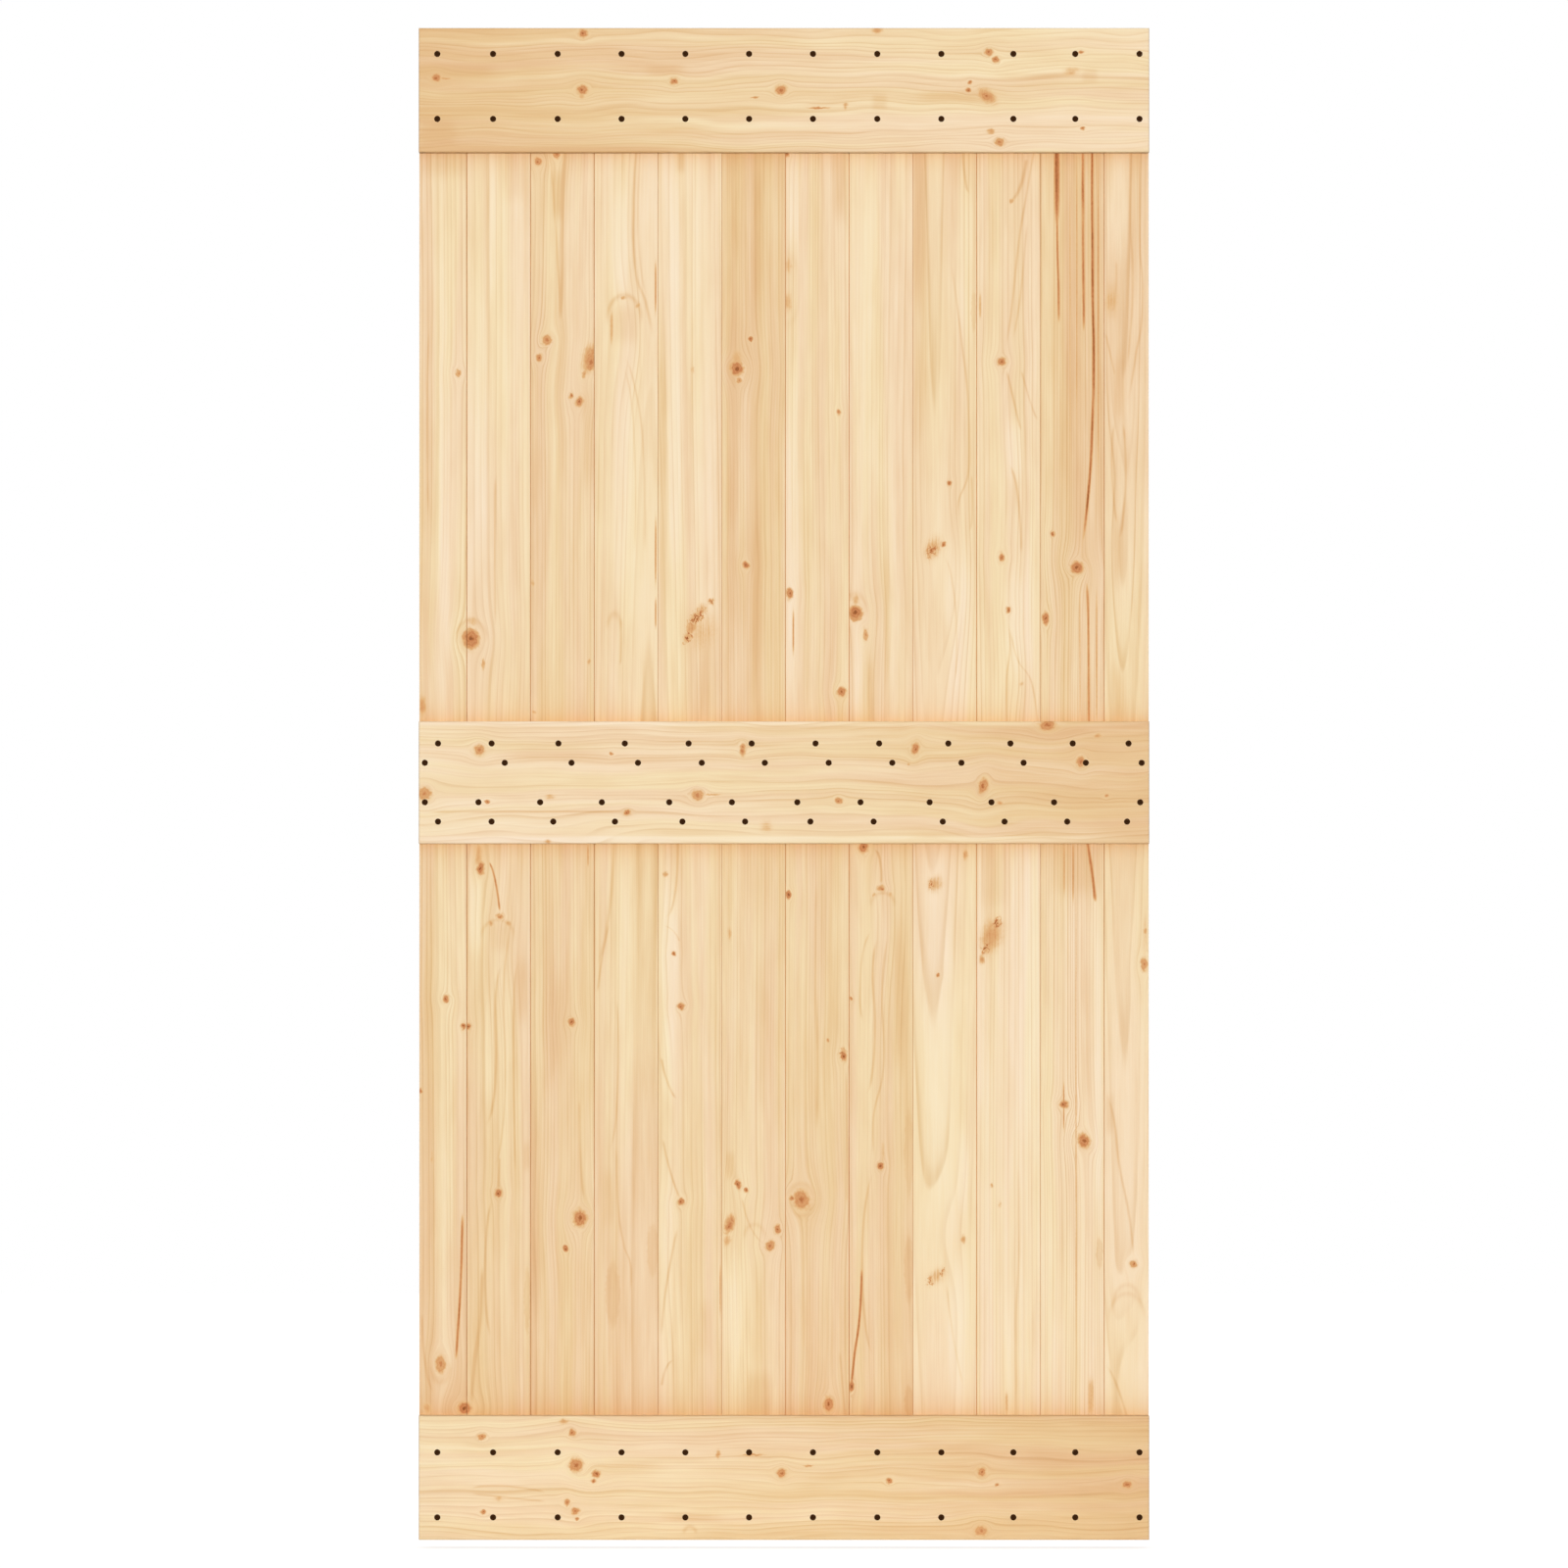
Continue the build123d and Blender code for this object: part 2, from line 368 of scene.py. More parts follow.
def make_pine_group():
    """Pine's growth rings round a pith, seen on any cut, with fibres, tone bands and the marks' colours."""
    inputs = ("Across", "Depth", "Along", "End Grain", "Joint", "Rail Shade", "Bend", "Marked Tone", "Stain",
              "Burr", "Knot Radius", "Knot Depth", "Swell", "Seed", "Pith Across", "Pith Depth",
              "Ring Width", "Contrast", "Wobble", "Waves", "Tone", "Bands")
    outputs = (("Colour", "NodeSocketColor"), ("Roughness", "NodeSocketFloat"), ("Height", "NodeSocketFloat"))
    group, t, source, sink = new_group("pine", inputs, outputs)
    across = t.plus(source["Across"], source["Bend"])
    depth = source["Depth"]
    along = source["Along"]
    seed = source["Seed"]

    def grain_noise(size, offset, detail=0.0, roughness=0.5):
        """Noise that runs with the grain through the wood."""
        place = t.vector(t.times_plus(across, 1 / size[0], seed),
                         t.times_plus(depth, 1 / size[0], offset),
                         t.times(along, 1 / size[1]))
        return t.noise(place, detail=detail, roughness=roughness)

    # Growth rings: distance from the pith, made uneven
    slow = t.times(t.centred(grain_noise(WOBBLE_SIZE, 3.1)), source["Wobble"])
    waves = t.times(t.centred(grain_noise(WAVE_SIZE, 7.7, detail=1.0)), source["Waves"])
    radius = t.length(t.minus(across, source["Pith Across"]),
                      t.minus(depth, source["Pith Depth"]))
    radius = t.plus(t.plus(radius, slow), t.plus(waves, source["Swell"]))
    uneven = t.noise(t.vector(t.times(radius, 1 / YEARS_SIZE), seed), detail=1.0)
    rings = t.times_plus(uneven, YEARS_SHIFT, t.math("DIVIDE", radius, source["Ring Width"]))
    phase = t.math("FRACT", rings)
    year = t.times_plus(seed, 7.3, t.math("FLOOR", rings))
    strength = t.add("ShaderNodeTexWhiteNoise", {"W": year}, noise_dimensions="1D").outputs["Value"]
    strength = t.times_plus(strength, 0.75, 0.25)
    line = t.times(t.step(phase, 0.1, 0.85), 0.4)
    line = t.times_plus(t.step(phase, 0.58, 0.84), 0.6, line)
    line = t.times(line, t.step(phase, 1.0, 0.88))
    latewood = t.times(t.times(line, strength), source["Contrast"])
    latewood = t.times(latewood, t.step(grain_noise(FADE_SIZE, 4.4), 0.10, 0.65))

    # Tone: bands that follow the rings, a slow mottle and fine fibres
    band = t.flat_noise((radius, along), BAND_SIZE, seed, detail=2.0, roughness=0.6)
    hue = t.flat_noise((radius, along), HUE_SIZE, t.plus(seed, 5.5), detail=1.0)
    fibre = grain_noise(FIBRE_SIZE, 1.3, detail=1.0, roughness=0.7)
    mottle = grain_noise(MOTTLE_SIZE, 9.9, detail=2.0, roughness=0.55)
    tone = t.times_plus(t.centred(band), source["Bands"], source["Tone"])
    tone = t.times_plus(t.centred(mottle), MOTTLE_SHARE, tone)
    tone = t.times_plus(t.centred(fibre), FIBRE_SHARE, tone)
    tone = t.plus(tone, source["Marked Tone"])
    tone_span = DARKEST_TONE - PALEST_TONE
    colour = t.ramp(t.times_plus(tone, 1 / tone_span, -PALEST_TONE / tone_span),
                    [((position - PALEST_TONE) / tone_span, stop) for position, stop in WOOD_COLOURS])
    hue_tint = t.mix(t.step(hue, 0.3, 0.7), YELLOW_TINT, PINK_TINT)
    colour = t.mix(1.0, colour, hue_tint, "MULTIPLY")
    # The latewood and end grain tints are the wood's own colour; the rail and joint tints are painted shade
    for share, tint in ((latewood, LATEWOOD_TINT), (source["End Grain"], END_GRAIN_TINT),
                        (source["Rail Shade"], RAIL_SHADE_TINT), (source["Joint"], JOINT_SHADE_TINT)):
        colour = t.mix(share, colour, t.mix(1.0, colour, tint, "MULTIPLY"))

    # Knots: a small dark heart in a ringed orange body, which fades into a halo
    unbent_place = (source["Across"], along)
    speck = t.flat_noise(unbent_place, SPECK_SIZE, seed, detail=1.0)
    uneven_speck = t.centred(speck)
    r = t.times_plus(uneven_speck, KNOT_UNEVENNESS, source["Knot Radius"])
    r = t.larger(r, 0.0)
    halo = t.times(t.bell(r), t.step(r, 3.4, 0.8))
    body = t.math("SINE", t.times(r, KNOT_RING_ANGLE))
    body = t.times_plus(body, KNOT_RINGS, KNOT_BODY)
    knot_shade = t.times_plus(t.step(r, 1.40, 0.60), body, t.times(halo, KNOT_HALO))
    knot_shade = t.times_plus(t.step(r, 0.60, 0.05), KNOT_HEART, knot_shade)
    knot_shade = t.times(knot_shade, source["Knot Depth"])

    # Burrs: broken brown lines in a tinted patch
    curl = t.flat_noise(unbent_place, CURL_SIZE, t.plus(seed, 2.2), detail=2.0, roughness=0.6)
    squiggle = t.step(t.math("ABSOLUTE", t.centred(curl)), 0.06, 0.01)
    squiggle = t.times(squiggle, t.step(speck, 0.3, 0.5))
    burr_shade = t.times(source["Burr"], t.times_plus(squiggle, BURR_LINES, BURR_PATCH))

    # Stains are streaky. The darkest of the three shows, and is a little uneven
    streaky = t.step(fibre, 0.36, 0.64)
    stain = t.times(source["Stain"], t.times_plus(streaky, 0.35, 0.80))
    shade = t.larger(t.larger(knot_shade, burr_shade), stain)
    shade = t.times_plus(uneven_speck, t.times(shade, 0.5), shade)
    t.feed(sink["Colour"], t.mix(t.step(shade, 0.0, 0.30), colour, t.ramp(shade, KNOT_COLOURS)))
    roughness = t.times_plus(fibre, FIBRE_ROUGHNESS, WOOD_ROUGHNESS)
    t.feed(sink["Roughness"], t.times_plus(shade, MARK_ROUGHNESS, roughness))

    # Relief of the planed surface: fine fibres only
    relief = t.vector(t.times(source["Across"], 1 / RELIEF_SIZE[0]),
                      t.times(depth, 1 / RELIEF_SIZE[0]),
                      t.times(along, 1 / RELIEF_SIZE[1]))
    t.feed(sink["Height"], t.noise(relief, detail=1.0))
    return group


PINE_GROUP = make_pine_group()

# Marks in the wood. x and y are photograph pixels, and sizes are millimetres. Lean is degrees from the grain,
# positive where the mark rises to the right
Mark = namedtuple("Mark", "kind x y radius stretch lean depth")
Vein = namedtuple("Vein", "width tone stain points")
Swell = namedtuple("Swell", "x y radius stretch height")

# Growth rings turn round a pith, pith_across from the piece's middle and pith_depth behind the rails' front.
# That depth grows by pith_slope for each millimetre along. ring_width, wobble and waves are millimetres too.
# tone_start and tone_end are the tones at the piece's low and high ends
Piece = namedtuple("Piece", "seed pith_across pith_depth pith_slope ring_width contrast wobble waves "
                            "tone_start tone_end bands")


def knot(x, y, radius, depth, stretch=1.2, lean=0):
    """A grown-in branch: rings, a dark heart and a halo, with the grain parting round it."""
    return Mark("knot", x, y, radius, stretch, lean, depth)


def pin(x, y, radius=3.0, depth=0.95):
    """A pin knot, a few millimetres across."""
    return Mark("knot", x, y, radius, 1.3, 0, depth)


def smudge(x, y, radius, depth, stretch=1.6, lean=0):
    """A soft stain that leaves the grain as it runs."""
    return Mark("smudge", x, y, radius, stretch, lean, depth)


def burr(x, y, radius, stretch=1.5, lean=0, depth=0.8):
    """A patch of broken, curled brown lines where a cluster of small branches grew in."""
    return Mark("burr", x, y, radius, stretch, lean, depth)


def disc(x, y, radius, stretch=1.2, depth=0.4):
    """A patch with a clear edge, round a knot's heart."""
    return Mark("disc", x, y, radius, stretch, 0, depth)


def arch(x, y, radius, stretch=1.5, depth=0.35, lean=0):
    """A growth ring seen as an arch over a point, or hung below it where the stretch is negative."""
    return Mark("arch", x, y, radius, stretch, lean, depth)


def patch(kind, left, right, top, bottom, depth, is_rail=False):
    """A mark between four sides. The grain, and with it a mark's length, lies flat on a rail."""
    width, length = right - left, bottom - top
    mm_per_pixel = BOARD_MM_PER_PIXEL
    if is_rail:
        width, length = length, width
        mm_per_pixel = RAIL_MM_PER_PIXEL
    x, y = (left + right) / 2, (top + bottom) / 2
    return Mark(kind, x, y, width / 2 * mm_per_pixel, length / width, 0, depth)


def rail_wash(left, right, top, bottom, tone):
    """A broad band of darker wood on a rail, or of paler wood where the tone is negative. Two pale bands on
    the middle rail's edges are painted highlights instead.
    """
    return patch("wash", left, right, top, bottom, tone, is_rail=True)


def wash(left, right, top, bottom, tone):
    """A broad band of darker wood on a board, or of paler wood where the tone is negative."""
    return patch("wash", left, right, top, bottom, tone)


def lens(left, right, top, bottom, depth):
    """A patch of honey-brown wood with a clear edge, on a board."""
    return patch("lens", left, right, top, bottom, depth)


def streak(x, top, bottom, width, depth):
    """A long thin lens of resin or darker wood, along the grain of a board."""
    length = (bottom - top) * BOARD_MM_PER_PIXEL
    return Mark("streak", x, (top + bottom) / 2, width / 2, length / width, 0, depth)


def vein(width, tone, *points):
    """A thin honey-brown line through the given photograph pixels."""
    return Vein(width, tone, 0, points)


def red_vein(width, stain, *points):
    """A thin red-brown line of resin through the given photograph pixels."""
    return Vein(width, 0.3, stain, points)


KNOTS_ON_FIRST_JOINT = (
    knot(481, 652, 10, 0.95), disc(481, 652, 12.5, 1.15, 0.42), arch(481, 652, 21, 1.25, 0.3),
    smudge(481, 634, 12, 0.2, 0.9), knot(474, 1437, 9, 1.0, 0.8),
)

MARKS = {
    "board_01": (
        *KNOTS_ON_FIRST_JOINT, wash(448, 459, 188, 717, -0.35), wash(428, 445, 150, 760, 0.15),
        wash(428, 476, 140, 180, 0.3), wash(428, 445, 860, 1450, 0.15), wash(448, 474, 860, 1450, -0.2),
        smudge(431, 720, 7, 0.4, 3.0), knot(468, 381, 4, 0.5), knot(455, 1020, 4.5, 0.85, 1.1, 30),
        pin(473, 1047), smudge(429, 1113, 3, 0.6, 1.8), smudge(441, 1181, 4, 0.2, 5.0),
        knot(449.6, 1392, 7, 0.6, 1.8), arch(449.6, 1392, 13, -1.9, 0.3),
        smudge(436, 1437, 8, 0.35, 1.5, -25),
    ),
    "board_02": (
        *KNOTS_ON_FIRST_JOINT, wash(499, 507, 158, 309, -0.35), wash(478, 501, 313, 585, -0.3),
        wash(511, 539, 150, 205, 0.3), wash(478, 493, 893, 968, -0.35), wash(525, 539, 980, 1044, 0.35),
        wash(495, 504, 1018, 1120, -0.3), wash(534, 541, 1165, 1195, 0.3), lens(535, 541, 1294, 1358, 0.3),
        smudge(493, 678, 3.6, 0.35, 3.2), knot(490.5, 886, 4.5, 0.95, 2.0), streak(488, 860, 884, 12, 0.25),
        smudge(510, 935, 8, 0.4, 0.8), knot(510, 936, 3.4, 0.75, 0.7), smudge(501, 942, 5, 0.3, 1.2, 30),
        smudge(519, 942, 5, 0.3, 1.2, -30), wash(502, 520, 940, 970, 0.25), arch(508, 955, 22, 1.0, 0.3),
        pin(478, 1047), knot(508.6, 1217.6, 4, 1.0),
    ),
    "board_03": (
        wash(541, 560, 150, 740, 0.15), wash(563, 575, 172, 222, 0.5), wash(595, 607, 392, 501, 0.35),
        wash(561, 577, 987, 1101, 0.3), wash(541, 552, 1082, 1346, 0.25), knot(549, 165, 5, 0.7),
        knot(568, 158, 4.5, 0.6), knot(558, 347, 6, 0.62, 1.3, 25), knot(550, 365, 4, 0.7),
        smudge(602, 366, 14, 0.5, 2.0, 14), knot(603, 370, 6, 0.72, 1.8, 16),
        knot(596, 382, 3, 0.45, 2.0, 10), knot(583, 404, 2.8, 0.9), knot(591, 410, 4.6, 0.85, 1.4, 20),
        smudge(601, 675, 4, 0.25, 2.0), smudge(543.5, 595, 4, 0.25, 2.0), smudge(545, 727, 4, 0.3, 1.0),
        knot(583, 1043, 4.5, 0.9), knot(592, 1243, 9, 0.85, 1.15), pin(577, 1274),
        streak(600, 860, 885, 3, 0.35),
    ),
    "board_04": (
        wash(624, 641, 192, 301, -0.35), wash(624, 650, 392, 615, -0.3), wash(606, 622, 300, 740, 0.15),
        wash(631, 644, 863, 1233, -0.35), wash(614, 627, 1195, 1252, 0.3), streak(669, 267, 320, 2.5, 0.4),
        streak(669, 528, 596, 2.5, 0.4), streak(669, 611, 641, 2.5, 0.45), arch(637, 325, 23, 1.4, 0.45),
        smudge(636, 304, 6, 0.35, 0.7), smudge(651, 312, 6, 0.25, 0.8, -40), streak(624, 316, 352, 5, 0.25),
        wash(626, 652, 312, 350, 0.25), arch(627, 640, 9, 2.0, 0.3), lens(618, 632, 1289, 1353, 0.34),
        lens(660, 672, 1250, 1301, 0.3),
    ),
    "board_05": (
        wash(673, 680, 301, 717, 0.3), wash(682, 695, 150, 740, -0.4), wash(690, 699, 150, 176, 0.4),
        wash(714, 725, 657, 736, 0.35), wash(674, 693, 897, 1036, -0.4), wash(676, 689, 1036, 1120, -0.35),
        wash(674, 686, 1195, 1441, -0.35), wash(710, 727, 1328, 1384, 0.25), smudge(707, 377, 5, 0.2),
        burr(711, 630, 11, 2.0, 38, 1.0), burr(702, 650, 8, 1.7, 30, 1.0),
        smudge(717, 646, 36, 0.2, 1.3, 15), smudge(706, 641, 9, 0.42, 1.5, 30),
        smudge(716, 622, 10, 0.28, 1.3, 40), burr(726, 614, 5.5, 1.3, -15, 1.0),
        wash(699, 736, 625, 735, 0.22), smudge(679, 892, 6, 0.35, 0.8), pin(687.8, 973, 2.4),
        knot(695, 1027, 4.4, 0.85, 1.0, -30), knot(695, 1226, 4.5, 0.85, 1.0, -30),
        streak(735, 1290, 1345, 2.5, 0.35),
    ),
    "board_06": (
        wash(741, 751, 150, 740, 0.3), wash(767, 778, 173, 320, 0.4), wash(767, 778, 509, 740, 0.4),
        wash(754, 765, 396, 566, -0.3), wash(741, 750, 1176, 1203, 0.35), wash(739, 761, 1282, 1400, -0.35),
        wash(769, 780, 1290, 1400, 0.3), wash(763, 788, 1400, 1450, 0.45), knot(752, 376, 8.5, 0.95, 1.05),
        smudge(752, 366, 12, 0.22, 1.6), knot(754, 388, 3.5, 0.55), pin(766, 346, 2.4),
        knot(761, 577, 4, 1.0), smudge(744.5, 953, 5, 0.25, 3.0), knot(753, 1208.5, 3.8, 0.95, 1.6, -20),
        pin(761, 1214, 2.6), smudge(744.5, 1249, 9, 0.6, 2.0, 18), knot(743, 1252, 4, 0.75, 1.5, 20),
        smudge(742, 1266, 8, 0.3, 1.6, 15), knot(793.7, 1254, 4, 0.8, 1.5, -15),
        knot(786, 1271, 6, 0.68, 1.25, 30), arch(770, 1262, 14, 1.2, 0.25),
    ),
    "board_07": (
        wash(804, 815, 150, 256, -0.35), wash(804, 815, 340, 740, -0.35), wash(849, 866, 150, 226, 0.35),
        arch(802, 295, 19, 2.6, 0.12), arch(802, 295, 19, -2.6, 0.12), smudge(805, 271, 9, 0.23, 2.0),
        smudge(804, 308, 10, 0.25, 2.2), pin(803, 157), smudge(805, 607, 9, 0.3, 1.4),
        knot(805.7, 605.6, 4.5, 0.85, 1.4), pin(856, 420, 2.4, 0.7), smudge(856, 421, 4, 0.3, 1.8),
        knot(858.6, 706, 5.5, 0.85, 1.1, 15), streak(809.5, 622, 668, 2.4, 0.4),
        knot(804.5, 913, 3.4, 1.0, 1.5), smudge(798, 892, 2.5, 0.4, 0.7), burr(860, 1074, 7, 1.2, 20, 1.0),
        pin(860.5, 1078, 4.0, 1.0), smudge(845, 1061, 2.6, 0.4, 1.6), knot(818, 1224, 11, 0.72, 1.2, -20),
        arch(818, 1224, 17, 1.3, 0.25), arch(818, 1224, 17, -1.3, 0.25), pin(808, 1223, 2.6, 0.7),
        knot(845.4, 1433.5, 6.5, 0.85, 1.5), smudge(846, 1436, 11, 0.3, 1.4),
    ),
    "board_08": (
        wash(870, 897, 150, 585, -0.3), wash(872, 881, 638, 732, -0.35), wash(902, 908, 539, 736, 0.35),
        wash(885, 891, 672, 736, 0.35), wash(913, 926, 946, 1082, 0.3), smudge(873, 612, 8, 0.28, 1.4),
        knot(873, 625, 8, 1.0, 1.1), disc(873, 626, 9.5, 1.15, 0.42), arch(873, 625, 15, 1.7, 0.3),
        knot(883, 648, 3.5, 0.5, 2.6), pin(868, 1019, 2.2, 0.7), knot(881, 864.5, 6, 0.95, 1.1),
        smudge(899, 906, 8, 0.42, 0.8), knot(900, 907, 3.6, 0.75, 0.7), smudge(892, 913, 4, 0.28, 1.2, 30),
        smudge(909, 913, 4, 0.28, 1.2, -30), arch(901, 923, 16, 1.0, 0.3), knot(898.3, 1190, 3.8, 1.0),
        streak(901, 1164, 1188, 6, 0.2), knot(868.8, 1414.6, 3.5, 1.0, 1.9),
        lens(923, 932, 1135, 1218, 0.28), lens(923, 932, 1263, 1328, 0.34),
        lens(923, 932, 1415, 1446, 0.36),
    ),
    "board_09": (
        wash(932, 946, 150, 309, 0.5), wash(932, 946, 309, 490, 0.3), wash(976, 993, 188, 358, -0.35),
        wash(966, 993, 562, 740, -0.35), wash(944, 974, 866, 1271, -0.3), wash(978, 987, 1150, 1233, -0.3),
        wash(966, 987, 1290, 1430, -0.35), lens(991, 996, 298, 338, 0.3), pin(969, 493, 2.4),
        burr(951, 562, 10, 1.4, 25, 0.9), smudge(952, 560, 17, 0.3, 1.5, 25), knot(951, 562, 3.4, 0.7, 1.2),
        pin(963, 556, 2.8, 0.9), burr(951, 903, 7, 1.3, 20, 0.8), smudge(954, 902, 15, 0.3, 1.2, 30),
        smudge(985, 872, 5, 0.4, 2.0), pin(957, 995, 2, 0.8), smudge(983, 1265, 5, 0.4, 1.8),
        burr(950, 1307, 8, 1.3, 35, 0.75), burr(962, 1298, 6, 1.5, 35, 0.7),
        smudge(956, 1302, 15, 0.24, 1.5, 45),
    ),
    "board_10": (
        wash(1027, 1042, 430, 490, -0.35), wash(1023, 1057, 585, 687, -0.3),
        wash(998, 1030, 863, 927, 0.35), wash(1031, 1061, 863, 1157, -0.3), smudge(1032, 205, 5, 0.35, 0.9),
        knot(1022, 369, 5.4, 0.85, 1.0), knot(1022, 569, 3.8, 0.85), smudge(1022, 569, 8, 0.25, 1.8),
        pin(1029, 622.6, 2.8), smudge(1042, 698, 5, 0.25, 1.2), streak(1000, 298, 326, 4, 0.3),
        burr(1017, 943, 8, 1.7, 25, 1.0), burr(1006, 968, 8, 1.6, 15, 1.0),
        smudge(1012, 955, 22, 0.36, 1.7, 18), smudge(1002, 979, 7, 0.4, 1.2),
        smudge(1011.7, 1210, 3, 0.3, 1.4), smudge(1020, 1229, 4, 0.2, 1.6),
        streak(1027, 1420, 1446, 6, 0.25),
    ),
    "board_11": (
        wash(1078, 1125, 150, 585, 0.2), wash(1073, 1125, 863, 912, 0.35),
        wash(1117, 1124, 949, 1233, -0.35), wash(1103, 1114, 987, 1120, 0.25),
        lens(1119, 1125, 1263, 1294, 0.4), streak(1078.5, 120, 225, 6.5, 0.95),
        streak(1098.7, 150, 450, 2.2, 0.35), streak(1120.6, 150, 500, 2.2, 0.4),
        streak(1092, 150, 480, 2.2, 0.25), smudge(1099, 579, 12, 0.4, 0.9),
        knot(1099, 579, 8, 0.95, 0.95, 40), disc(1099, 579, 8, 0.95, 0.6), knot(1067, 631, 4, 0.9, 2.0),
        pin(1074, 545, 2.4), streak(1102, 600, 745, 1.8, 0.3), streak(1119, 600, 745, 2.5, 0.35),
        streak(1086, 855, 915, 2.4, 0.45), streak(1095, 855, 920, 2.4, 0.45),
        streak(1098, 890, 1400, 1.8, 0.3), knot(1085.5, 1127, 5, 0.95, 1.0),
        streak(1085.5, 1105, 1152, 2, 0.5), knot(1106, 1164, 7.5, 0.9, 1.25, -20),
        streak(1113, 1405, 1446, 9, 0.3),
    ),
    "board_12": (
        wash(1128, 1150, 150, 263, -0.35), wash(1136, 1147, 362, 430, 0.35),
        wash(1136, 1146, 528, 596, 0.35), wash(1136, 1150, 679, 740, 0.4),
        wash(1128, 1137, 1116, 1157, 0.35), smudge(1134, 307, 14, 0.25, 1.7, 12),
        wash(1129, 1140, 288, 325, 0.3), smudge(1168.6, 949.5, 4, 0.3, 2.0), knot(1167.5, 984, 5, 0.6, 2.0),
        streak(1168, 930, 985, 8, 0.15), knot(1156.5, 1290, 5, 0.6, 1.1), pin(1157, 1289, 2.4, 0.9),
        arch(1150, 1330, 18, 1.4, 0.25), arch(1150, 1345, 24, 1.4, 0.25),
    ),
    "top_rail": (
        rail_wash(429, 503, 65, 77, 0.3), rail_wash(659, 698, 65, 77, 0.3),
        rail_wash(429, 464, 122, 158, 0.25), rail_wash(429, 700, 150, 158, 0.35),
        rail_wash(560, 1010, 15, 160, -0.17), rail_wash(940, 1004, 92, 105, 0.3),
        smudge(1093, 73, 9, 0.24, 2.0, 10), rail_wash(1020, 1090, 74, 82, 0.3),
        rail_wash(1104, 1120, 70, 84, 0.3), rail_wash(890, 905, 96, 112, 0.3), knot(445, 79.5, 5, 0.8),
        smudge(455, 80, 3, 0.3, 4.0), knot(595, 34, 5, 0.85), knot(594, 91.6, 6, 0.85),
        smudge(594, 98, 7, 0.3, 0.8), knot(688, 83, 4, 0.85), knot(797, 92, 6, 0.75, 1.2),
        smudge(770, 99, 1.6, 0.5, 5), smudge(835, 110, 2, 0.5, 10), smudge(863, 108, 9, 0.3, 0.5),
        smudge(895, 31, 7, 0.4, 1.5), pin(988, 92, 2.6, 0.9), pin(990, 84, 2.6, 0.8),
        smudge(1007, 98, 13, 0.48, 1.5, -35), knot(1006, 98, 5, 0.75, 1.5, -35), knot(1009, 53, 4.5, 0.75),
        knot(1016, 61, 4, 0.8), smudge(1011, 134, 5, 0.35, 1.5), knot(1020, 145, 5, 0.65),
        pin(1103, 53, 2.4, 0.8), pin(1105, 131, 2.2, 0.8),
    ),
    "middle_rail": (
        # The two pale washes along the middle rail's top and bottom edges are painted highlights on its
        # rounded arrises
        rail_wash(503, 635, 762, 775, 0.3), rail_wash(420, 1180, 734, 741, -0.5),
        rail_wash(560, 1040, 725, 870, -0.14), rail_wash(420, 1180, 853, 860, -0.6),
        knot(489, 765, 7, 0.65, 1.0), knot(433, 810, 9, 0.6, 1.0), pin(497, 818, 2.6, 0.7),
        smudge(561.5, 813, 6, 0.25, 1.8), knot(640, 829, 3.4, 0.95), knot(711.7, 811.5, 7, 0.6, 1.2),
        smudge(727, 811, 2, 0.4, 9), smudge(757.6, 767, 9, 0.55, 0.6, 12), knot(758, 762, 5, 0.6, 0.8, 12),
        smudge(782, 843.5, 13, 0.22, 1.0), pin(624, 769, 2.0, 0.6), knot(934, 764, 8, 0.85, 0.6, -10),
        smudge(927, 780, 2.5, 0.35), knot(856, 817, 4, 0.7), knot(1003, 802, 10, 0.75, 0.6, -10),
        smudge(1020, 819, 4, 0.35), knot(1069, 740, 7, 0.75, 1.6), knot(1103, 777, 7, 0.7, 0.8),
        pin(1129, 812, 2.4, 0.6), smudge(1120, 751, 5, 0.35), smudge(559.7, 859, 5, 0.35, 1.4),
    ),
    "bottom_rail": (
        rail_wash(675, 737, 1543, 1553, 0.3), rail_wash(600, 675, 1490, 1505, 0.3),
        rail_wash(560, 1085, 1430, 1590, -0.16), knot(588, 1495, 9, 0.75, 1.0, 35),
        knot(608.5, 1504, 4.5, 0.95, 1.2), pin(605.7, 1511, 2.6, 0.9), knot(579, 1533, 5, 0.75, 0.7),
        knot(587, 1542, 4.5, 0.75), pin(589, 1550, 2.2, 0.8), pin(493, 1543, 2.8, 0.85),
        knot(492, 1466, 4.5, 0.65), knot(584, 1462, 5, 0.75, 0.9, 30), smudge(575, 1450.6, 6, 0.3),
        smudge(509, 1529, 5, 0.28, 2), smudge(733, 1484, 9, 0.4, 0.5), smudge(768, 1484.5, 2, 0.5, 11),
        knot(797.6, 1503, 6, 0.75, 1.0), arch(704, 1564, 8, 1.0, 0.4, 90), smudge(825, 1496, 1.6, 0.5, 6),
        knot(907, 1511, 3.5, 0.85), knot(1002, 1502, 6, 0.75, 0.9), knot(1150, 1515, 5, 0.8),
        pin(1017, 1515, 2.0, 0.7), knot(1001, 1562, 7, 0.6),
    ),
}

